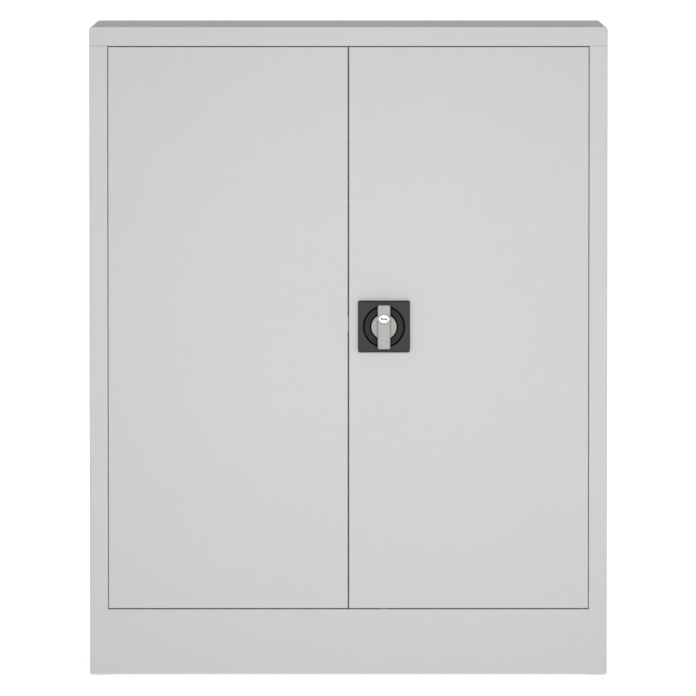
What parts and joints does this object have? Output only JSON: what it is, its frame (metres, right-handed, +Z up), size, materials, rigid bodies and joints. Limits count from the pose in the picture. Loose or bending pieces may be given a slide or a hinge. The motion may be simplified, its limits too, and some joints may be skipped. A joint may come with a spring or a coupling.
{
  "type": "steel double-door cabinet",
  "caption": "Free-standing sheet-steel cabinet with flush hinged doors, a turning lever lock that drives bolting rods, adjustable shelves, a plinth and levelling feet.",
  "frame": {"origin": "on the floor under the feet, at the centre of the whole object's plan rectangle, lever included", "axes": "+X to the right seen from the front, +Y to the back, +Z up; the doors face -Y"},
  "size_m": [0.8, 0.4052, 1.005],
  "materials": {
    "grey_coat": "light grey powder coat, fine orange peel, semi-matt",
    "black_plastic": "black moulded plastic, satin",
    "satin_zinc": "satin zinc die casting",
    "nickel": "nickel-plated brass, slightly warm",
    "zinc_plate": "bright zinc plate",
    "dark_steel": "dark phosphated steel",
    "white_nylon": "natural nylon",
    "rubber": "black rubber"
  },
  "bodies": {
    "cabinet": {"top_panel": "grey_coat", "left_side_panel": "grey_coat", "right_side_panel": "grey_coat", "back_panel": "grey_coat", "plinth_panel": "grey_coat", "floor_panel": "grey_coat", "rear_base_rail": "grey_coat", "hinge_bushes": "white_nylon", "rod_strikes": "white_nylon", "door_buffers": "rubber", "lid_screws": "zinc_plate", "back_rivets": "zinc_plate", "foot_hole_caps": "black_plastic", "shelf_upright_front_left": "zinc_plate", "shelf_upright_rear_left": "zinc_plate", "shelf_upright_front_right": "zinc_plate", "shelf_upright_rear_right": "zinc_plate", "shelf_clips": "zinc_plate", "lower_shelf": "grey_coat", "upper_shelf": "grey_coat", "foot_bracket_front_left": "zinc_plate", "foot_bracket_rear_left": "zinc_plate", "foot_bracket_front_right": "zinc_plate", "foot_bracket_rear_right": "zinc_plate"},
    "left_door": {"left_door_panel": "grey_coat", "left_door_pin_plates": "zinc_plate", "left_door_hinge_pins": "dark_steel", "left_door_stiffener": "grey_coat", "keeper_plate": "zinc_plate", "keeper_screws": "zinc_plate"},
    "right_door": {"right_door_panel": "grey_coat", "right_door_pin_plates": "zinc_plate", "right_door_hinge_pins": "dark_steel", "right_door_stiffener": "grey_coat", "lock_rosette": "black_plastic", "lock_case": "zinc_plate", "lock_screws": "zinc_plate", "rod_guides": "white_nylon"},
    "handle": {"lock_lever": "satin_zinc", "lock_cylinder_housing": "nickel", "lock_spindle": "zinc_plate", "lock_rotor": "zinc_plate", "lock_tongue": "zinc_plate", "lock_tongue_nut": "zinc_plate"},
    "cylinder_plug": {"lock_cylinder_plug": "nickel"},
    "upper_bolt": {"upper_rod": "zinc_plate", "upper_rod_yoke": "zinc_plate"},
    "lower_bolt": {"lower_rod": "zinc_plate", "lower_rod_yoke": "zinc_plate"},
    "pad_front_left": {"foot_pad_front_left": "black_plastic"},
    "screw_front_left": {"foot_screw_front_left": "zinc_plate"},
    "pad_rear_left": {"foot_pad_rear_left": "black_plastic"},
    "screw_rear_left": {"foot_screw_rear_left": "zinc_plate"},
    "pad_front_right": {"foot_pad_front_right": "black_plastic"},
    "screw_front_right": {"foot_screw_front_right": "zinc_plate"},
    "pad_rear_right": {"foot_pad_rear_right": "black_plastic"},
    "screw_rear_right": {"foot_screw_rear_right": "zinc_plate"}
  },
  "joints": [
    {"name": "left_door_hinge", "type": "hinge", "parent": "cabinet", "child": "left_door", "pos_m": [-0.3623, -0.17715, 0], "axis": [0, 0, -1], "range_deg": [0, 110]},
    {"name": "right_door_hinge", "type": "hinge", "parent": "cabinet", "child": "right_door", "pos_m": [0.3623, -0.17715, 0], "axis": [0, 0, 1], "range_deg": [0, 110]},
    {"name": "lever_turn", "type": "hinge", "parent": "right_door", "child": "handle", "pos_m": [0.055, -0.18165, 0.5414], "axis": [0, 1, 0], "range_deg": [0, 90]},
    {"name": "cylinder_turn", "type": "hinge", "parent": "handle", "child": "cylinder_plug", "pos_m": [0.055, -0.19165, 0.554], "axis": [0, -1, 0], "range_deg": [0, 90]},
    {"name": "upper_bolt_slide", "type": "slide", "parent": "right_door", "child": "upper_bolt", "axis": [0, 0, 1], "range_m": [0, 0.0198]},
    {"name": "lower_bolt_slide", "type": "slide", "parent": "right_door", "child": "lower_bolt", "axis": [0, 0, -1], "range_m": [0, 0.0198]},
    {"name": "foot_height_front_left", "type": "slide", "parent": "cabinet", "child": "pad_front_left", "axis": [0, 0, -1], "range_m": [0, 0.01]},
    {"name": "foot_screw_turn_front_left", "type": "hinge", "parent": "pad_front_left", "child": "screw_front_left", "pos_m": [-0.359, -0.12965, 0], "axis": [0, 0, -1], "range_deg": [0, 2401]},
    {"name": "foot_height_rear_left", "type": "slide", "parent": "cabinet", "child": "pad_rear_left", "axis": [0, 0, -1], "range_m": [0, 0.01]},
    {"name": "foot_screw_turn_rear_left", "type": "hinge", "parent": "pad_rear_left", "child": "screw_rear_left", "pos_m": [-0.359, 0.14935, 0], "axis": [0, 0, -1], "range_deg": [0, 2401]},
    {"name": "foot_height_front_right", "type": "slide", "parent": "cabinet", "child": "pad_front_right", "axis": [0, 0, -1], "range_m": [0, 0.01]},
    {"name": "foot_screw_turn_front_right", "type": "hinge", "parent": "pad_front_right", "child": "screw_front_right", "pos_m": [0.359, -0.12965, 0], "axis": [0, 0, -1], "range_deg": [0, 2401]},
    {"name": "foot_height_rear_right", "type": "slide", "parent": "cabinet", "child": "pad_rear_right", "axis": [0, 0, -1], "range_m": [0, 0.01]},
    {"name": "foot_screw_turn_rear_right", "type": "hinge", "parent": "pad_rear_right", "child": "screw_rear_right", "pos_m": [0.359, 0.14935, 0], "axis": [0, 0, -1], "range_deg": [0, 2401]}
  ],
  "couplings": [
    {"joint": "upper_bolt_slide", "follows": "lever_turn", "m_per_rad": 0.0126},
    {"joint": "lower_bolt_slide", "follows": "lever_turn", "m_per_rad": 0.0126},
    {"joint": "foot_screw_turn_front_left", "follows": "foot_height_front_left", "rad_per_m": 4188.8},
    {"joint": "foot_screw_turn_rear_left", "follows": "foot_height_rear_left", "rad_per_m": 4188.8},
    {"joint": "foot_screw_turn_front_right", "follows": "foot_height_front_right", "rad_per_m": 4188.8},
    {"joint": "foot_screw_turn_rear_right", "follows": "foot_height_rear_right", "rad_per_m": 4188.8}
  ]
}
